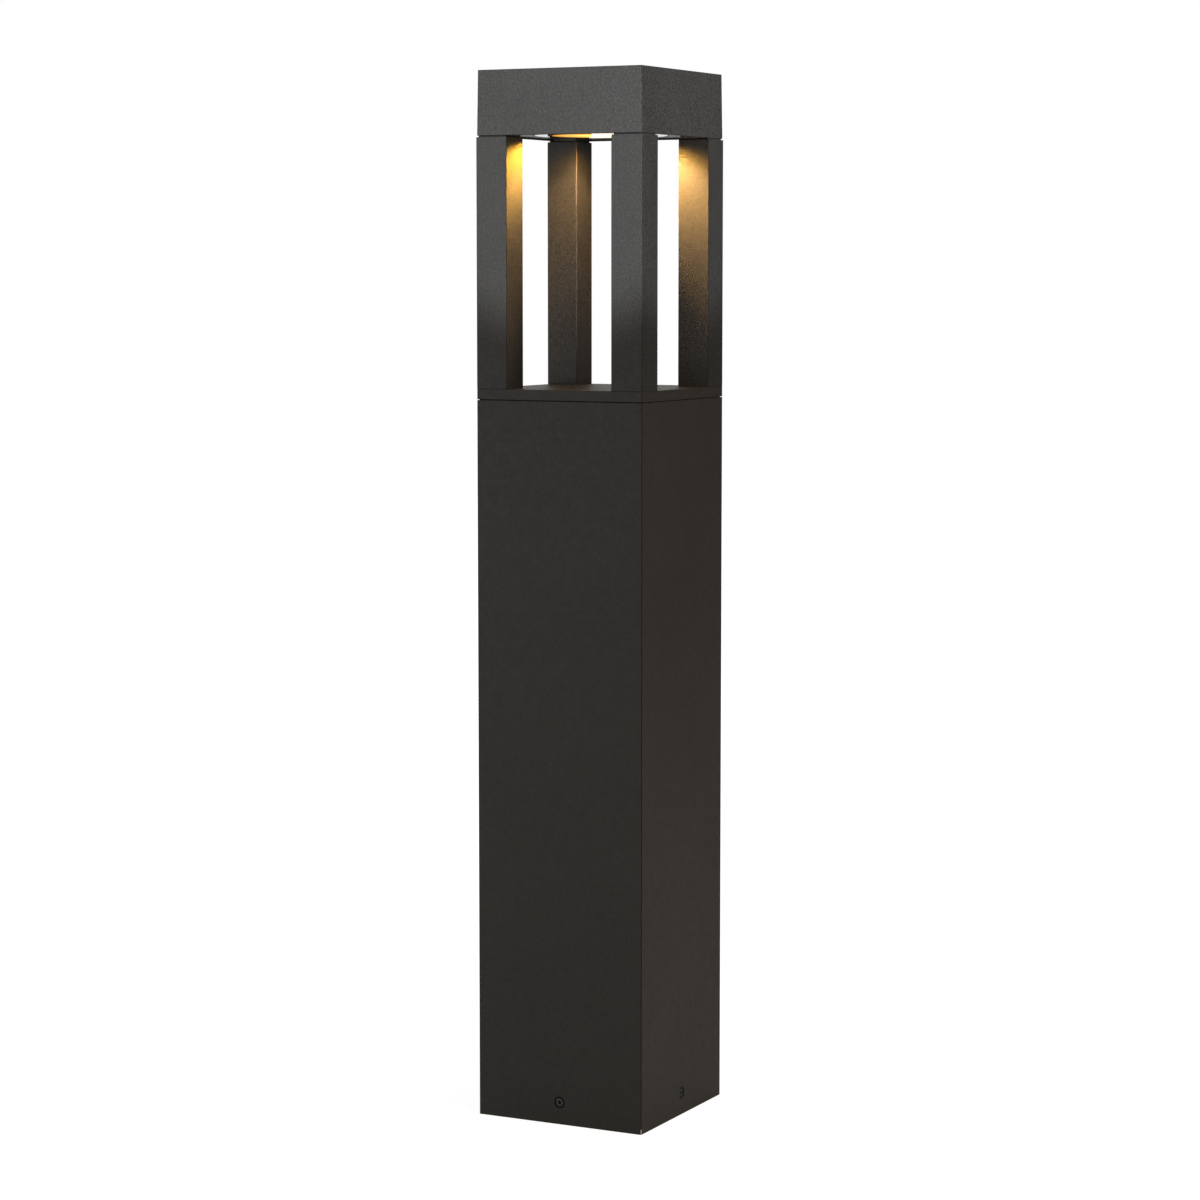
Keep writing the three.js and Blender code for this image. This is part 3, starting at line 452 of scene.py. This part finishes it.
def cap(coat):
    """The drafted cap: a roof with a rounded edge over a hollow with a flat rim."""
    low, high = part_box("top_cap")
    wall, roof, draft, corner, edge, rim = 3 * MM, 4 * MM, 0.6 * MM, 1.0 * MM, 0.6 * MM, 0.3 * MM
    ceiling = high.z - roof

    def width(z):
        return high.x - draft * (z - low.z) / (high.z - low.z)

    loops = [square_loop(width(high.z) - inset * edge, corner - inset * edge, high.z - drop * edge)
             for inset, drop in ((1.0, 0.0), (0.5, 0.13), (0.13, 0.5))]
    loops += [
        square_loop(width(high.z - edge), corner, high.z - edge),
        square_loop(width(low.z + rim), corner, low.z + rim),
        square_loop(width(low.z) - rim, corner - rim, low.z),
        square_loop(width(low.z) - wall, corner, low.z),
        square_loop(width(ceiling) - wall, corner, ceiling),
    ]
    dress(loft("cap_shell", loops), coat, ["top_cap"])


def lamp_plate(coat):
    """The panel in the cap's underside, with its round opening, and a pad over each post."""
    low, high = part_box("lamp_plate")
    bottom = GLASS_LOW.z
    edge, corner, chamfer = 0.25 * MM, 1.0 * MM, 0.4 * MM
    panel = loft("lamp_panel", [
        square_loop(high.x - edge, corner - edge, bottom),
        square_loop(high.x, corner, bottom + edge),
        square_loop(high.x, corner, high.z),
    ])
    opening_r = GLASS_WINDOW_R + 0.5 * MM
    cut(panel, [turned("opening", (
        (opening_r + chamfer, bottom - 3 * MM),
        (opening_r + chamfer, bottom),
        (opening_r, bottom + chamfer),
        (opening_r, high.z + 2 * MM),
    ), GLASS_SIDES)])
    dress(panel, coat, ["lamp_plate"])
    pad_half, pad_corner = 10.4 * MM, 0.5 * MM
    for name, signs in CORNERS.items():
        centre = [sign * (high.x - pad_half - 0.2 * MM) for sign in signs]
        loops = [square_loop(pad_half, pad_corner, z, centre) for z in (low.z, bottom + 0.1 * MM)]
        dress(loft(f"lamp_pad_{name}", loops), coat)


def lens(glass, print_black):
    """The stepped glass disc, flush with the lamp plate, and the black print round its window and side."""
    step = GLASS_LOW.z + 5 * MM
    disc = turned("lens_disc", (
        (GLASS_WINDOW_R - 0.8 * MM, GLASS_LOW.z),
        (GLASS_WINDOW_R - 0.25 * MM, GLASS_LOW.z + 0.1 * MM),
        (GLASS_WINDOW_R, GLASS_LOW.z + 0.5 * MM),
        (GLASS_WINDOW_R, step),
        (GLASS_HIGH.x, step),
        (GLASS_HIGH.x, GLASS_HIGH.z),
    ), GLASS_SIDES)
    dress(disc, glass, ["lens_glass"])
    disc.visible_shadow = False  # so the lamp behind it shines through
    inside, film, side = GLASS_LOW.z + 0.2 * MM, 0.1 * MM, GLASS_WINDOW_R - 0.6 * MM
    border = turned("lens_border", (
        (CLEAR_WINDOW_R, inside),
        (side, inside),
        (side, step),
        (side - film, step),
        (side - film, inside + film),
        (CLEAR_WINDOW_R, inside + film),
    ), GLASS_SIDES, closed=True)
    dress(border, print_black)


def plain_nodes(finishes):
    """Gives each CAD node the finish of its slot in the record."""
    slot_of = {part["node"]: part["material_slot"] for part in frame["record"]["subparts"]}
    for name, obj in frame["nodes"].items():
        obj.data.materials.clear()
        obj.data.materials.append(finishes[slot_of[name]])


# ---------------------------------------------------------------- studio

YAW = math.radians(27.17)  # how far the view turns from square-on to the front face
PITCH = math.radians(5.71)  # how far it looks down
CAMERA_DISTANCE = 2.54
CAMERA_HEIGHT = 0.651
CAMERA_OFFSET = 0.0009
FOCAL_LENGTH_MM = 99.2
SENSOR_WIDTH_MM = 36.0
AHEAD = Vector((-math.sin(YAW), math.cos(YAW), 0.0))
RIGHT = Vector((math.cos(YAW), math.sin(YAW), 0.0))
WHITE = (1.0, 1.0, 1.0)


def camera():
    data = bpy.data.cameras.new("camera")
    data.lens = FOCAL_LENGTH_MM
    data.sensor_width = SENSOR_WIDTH_MM
    eye = bpy.data.objects.new("camera", data)
    eye.location = -CAMERA_DISTANCE * AHEAD - CAMERA_OFFSET * RIGHT + Vector((0, 0, CAMERA_HEIGHT))
    look = AHEAD * math.cos(PITCH) - Vector((0, 0, math.sin(PITCH)))
    eye.rotation_euler = look.to_track_quat("-Z", "Y").to_euler()
    bpy.context.scene.collection.objects.link(eye)
    bpy.context.scene.camera = eye


def lamp(name, kind, place, direction, power, colour, **settings):
    """A light at a place that shines in a direction."""
    data = bpy.data.lights.new(name, kind)
    data.energy = power
    data.color = colour
    for key, value in settings.items():
        setattr(data, key, value)
    made = bpy.data.objects.new(name, data)
    made.location = place
    made.rotation_euler = Vector(direction).to_track_quat("-Z", "Y").to_euler()
    bpy.context.scene.collection.objects.link(made)


def softbox(name, place, target, size, power, colour):
    direction = Vector(target) - Vector(place)
    lamp(name, "AREA", place, direction, power, colour, shape="RECTANGLE", size=size[0], size_y=size[1])


LANTERN_TARGET = (0, 0, 0.779)  # the lit disc round it fades out over the lower half of the posts
SNOOT_CONE = math.radians(3.78)
SNOOT_BLEND = 0.43
SNOOT_R = 0.012


def snooted(name, place, power, colour):
    """A distant narrow lamp that lights the cap and the upper part of the posts."""
    direction = Vector(LANTERN_TARGET) - Vector(place)
    lamp(name, "SPOT", place, direction, power, colour,
         spot_size=SNOOT_CONE, spot_blend=SNOOT_BLEND, shadow_soft_size=SNOOT_R)


LED_PLACE = (0, 0, GLASS_HIGH.z + 5.5 * MM)
LED_R = 7.5 * MM
LOBE_COLOUR = (1.0, 0.49, 0.05)
SKIRT_COLOUR = (1.0, 0.57, 0.21)
# For each post, a bright upper lobe and a dimmer skirt under it: lobe's drop for each step of (x, y)
# towards the post, lobe's power, skirt's drop, skirt's power.
LED_BEAMS = {
    "front_left": (0.82, 6.8, 1.6, 4.0),
    "front_right": (1.0, 4.4, 1.5, 3.4),
    "rear_right": (1.0, 2.6, 1.41, 6.5),
    "rear_left": (1.1, 0.7, 1.6, 3.0),
}


def led_spot(name, direction, power, cone, blend, colour):
    """One part of the LED's beam, starting just above the glass."""
    lamp(name, "SPOT", LED_PLACE, direction, power, colour,
         spot_size=math.radians(cone), spot_blend=blend, shadow_soft_size=LED_R)


def led():
    """A faint wide cone, and a lobe and a skirt towards each post."""
    led_spot("led_beam", (0, 0, -1), power=0.5, cone=165, blend=0.1, colour=SKIRT_COLOUR)
    for corner, (lobe_drop, lobe_power, skirt_drop, skirt_power) in LED_BEAMS.items():
        lobe, skirt = (*CORNERS[corner], -lobe_drop), (*CORNERS[corner], -skirt_drop)
        led_spot(f"led_lobe_{corner}", lobe, lobe_power, cone=48, blend=1.0, colour=LOBE_COLOUR)
        led_spot(f"led_skirt_{corner}", skirt, skirt_power, cone=44, blend=0.7, colour=SKIRT_COLOUR)


def lights():
    softbox("key", place=(-2.0, -2.6, 0.42), target=(0, 0, 0.28),
            size=(1.2, 1.4), power=14.0, colour=(1.0, 0.97, 0.92))
    softbox("warm_fill", place=(2.1, -0.6, 1.12), target=(0, 0, 0.58),
            size=(0.8, 1.4), power=25.5, colour=(1.0, 0.8, 0.6))
    softbox("overhead", place=(0, 0.2, 2.6), target=(0, 0, 0),
            size=(1.6, 1.6), power=22.0, colour=WHITE)
    snooted("lantern_front", place=(0, -6.0, 1.74), power=1080.0, colour=WHITE)
    snooted("lantern_right", place=(6.0, 0, 1.74), power=1290.0, colour=(0.93, 0.98, 1.0))
    led()


DIM_STUDIO = 0.07
BACKDROP = (0.86, 0.97)  # cosines of the angles from straight ahead where it starts and where it is full


def world():
    """White to the eye. For the object, a dim studio with a bright backdrop straight behind it."""
    made = bpy.data.worlds.new("studio")
    bpy.context.scene.world = made
    made.use_nodes = True
    made.node_tree.nodes.clear()
    nodes = Nodes(made.node_tree)
    ray = nodes.add("ShaderNodeTexCoord").outputs["Generated"]
    backdrop = nodes.spread(nodes.vector("DOT_PRODUCT", ray, tuple(AHEAD), "Value"), *BACKDROP)
    level = nodes.spread(backdrop, 0.0, 1.0, DIM_STUDIO, 1.0)
    seen = nodes.add("ShaderNodeLightPath").outputs["Is Camera Ray"]
    strength = nodes.add("ShaderNodeMix", {0: seen, 2: level, 3: 1.0}, data_type="FLOAT").outputs[0]
    glow = nodes.add("ShaderNodeBackground", {"Color": rgba(WHITE), "Strength": strength})
    output = nodes.add("ShaderNodeOutputWorld")
    made.node_tree.links.new(glow.outputs[0], output.inputs["Surface"])


FLOOR_HALF = 6.0
FLOOR_GREY = (0.5, 0.5, 0.5)
FLOOR_GLOW = 0.08  # what the object gets of the glow that the eye sees


def studio_floor():
    """A pale sweep that looks white, keeps a soft shadow, has a painted shade round the foot, and throws
    little light back.
    """
    bm = bmesh.new()
    bmesh.ops.create_grid(bm, x_segments=1, y_segments=1, size=FLOOR_HALF)
    ground = to_object("studio_floor", bm)
    made = bpy.data.materials.new("pale_floor")
    made.use_nodes = True
    made.node_tree.nodes.clear()
    nodes = Nodes(made.node_tree)
    seen = nodes.add("ShaderNodeLightPath").outputs["Is Camera Ray"]
    away = nodes.vector("LENGTH", nodes.place(), output="Value")
    painted_foot_shade = nodes.spread(away, 0.4, 1.6, 0.86, 1.05)  # painted shade: the floor glows a little less round the foot
    strength = nodes.math("MULTIPLY", nodes.spread(seen, 0.0, 1.0, FLOOR_GLOW, 1.0), painted_foot_shade)
    glow = nodes.add("ShaderNodeEmission", {"Color": rgba(WHITE), "Strength": strength})
    matt = nodes.add("ShaderNodeBsdfDiffuse", {"Color": rgba(FLOOR_GREY)})
    both = nodes.add("ShaderNodeAddShader", {0: glow.outputs[0], 1: matt.outputs[0]})
    nodes.add("ShaderNodeOutputMaterial", {"Surface": both.outputs[0]})
    ground.data.materials.append(made)


# ---------------------------------------------------------------- assembly

column_coat = powder_coat(
    "column_coat", dark=(0.016, 0.0148, 0.0122), light=(0.027, 0.025, 0.0208),
    roughness=0.5, grain_mm=0.8, depth_mm=0.12, ior=1.55,
)
cap_coat = powder_coat(
    "sand_coat", dark=(0.0068, 0.0068, 0.00685), light=(0.0342, 0.0342, 0.0344),
    roughness=0.5, grain_mm=1.0, depth_mm=0.5, ior=1.6,
)
# The posts' edges near the lens get the painted highlight of the lamp's light.
post_coat = powder_coat(
    "post_coat", dark=(0.0068, 0.0068, 0.0068), light=(0.027, 0.027, 0.027),
    roughness=0.5, grain_mm=0.9, depth_mm=0.4, ior=1.58, gleam_reach=83 * MM,
)
panel_coat = powder_coat(
    "panel_coat", dark=(0.02, 0.0195, 0.019), light=(0.034, 0.033, 0.032),
    roughness=0.27, grain_mm=0.8, depth_mm=0.02, ior=1.6,
)
steel = screw_steel()
finishes = {
    "powder_coat": column_coat,
    "sand_coat": cap_coat,
    "black_steel": steel,
    "zinc_steel": metal("zinc_steel", (0.62, 0.63, 0.64), 0.35, 2.0),
    "bare_aluminium": metal("bare_aluminium", (0.72, 0.73, 0.74), 0.4, 1.5),
    "cast_base": metal("cast_base", (0.3, 0.3, 0.31), 0.55, 1.2),
    "black_rubber": moulded("black_rubber", (0.012, 0.012, 0.012), 0.75, 0.6),
    "lens_glass": lens_material(),
    "reflector": metal("reflector", (0.9, 0.76, 0.48), 0.15, 8.0),
    "led_emitter": moulded("led_emitter", (0.95, 0.7, 0.2), 0.5, 0.4),
    "led_board": moulded("led_board", (0.85, 0.85, 0.83), 0.4, 0.8),
    "grey_plastic": moulded("grey_plastic", (0.25, 0.26, 0.27), 0.5, 0.7),
    "white_plastic": moulded("white_plastic", (0.8, 0.8, 0.78), 0.45, 0.7),
    "black_plastic": moulded("black_plastic", (0.02, 0.02, 0.022), 0.5, 0.7),
    "lead_jacket": moulded("lead_jacket", (0.02, 0.02, 0.022), 0.6, 0.9),
    "earth_jacket": moulded("earth_jacket", (0.2, 0.4, 0.05), 0.55, 0.9),
}
plain_nodes(finishes)
column(column_coat)
floor_plate(column_coat)
posts(post_coat)
cap(cap_coat)
lamp_plate(panel_coat)
lens(finishes["lens_glass"], finishes["black_plastic"])
for side in SIDES:
    side_screw(side, steel)

camera()
world()
studio_floor()
lights()
bpy.context.scene.view_settings.view_transform = "Standard"
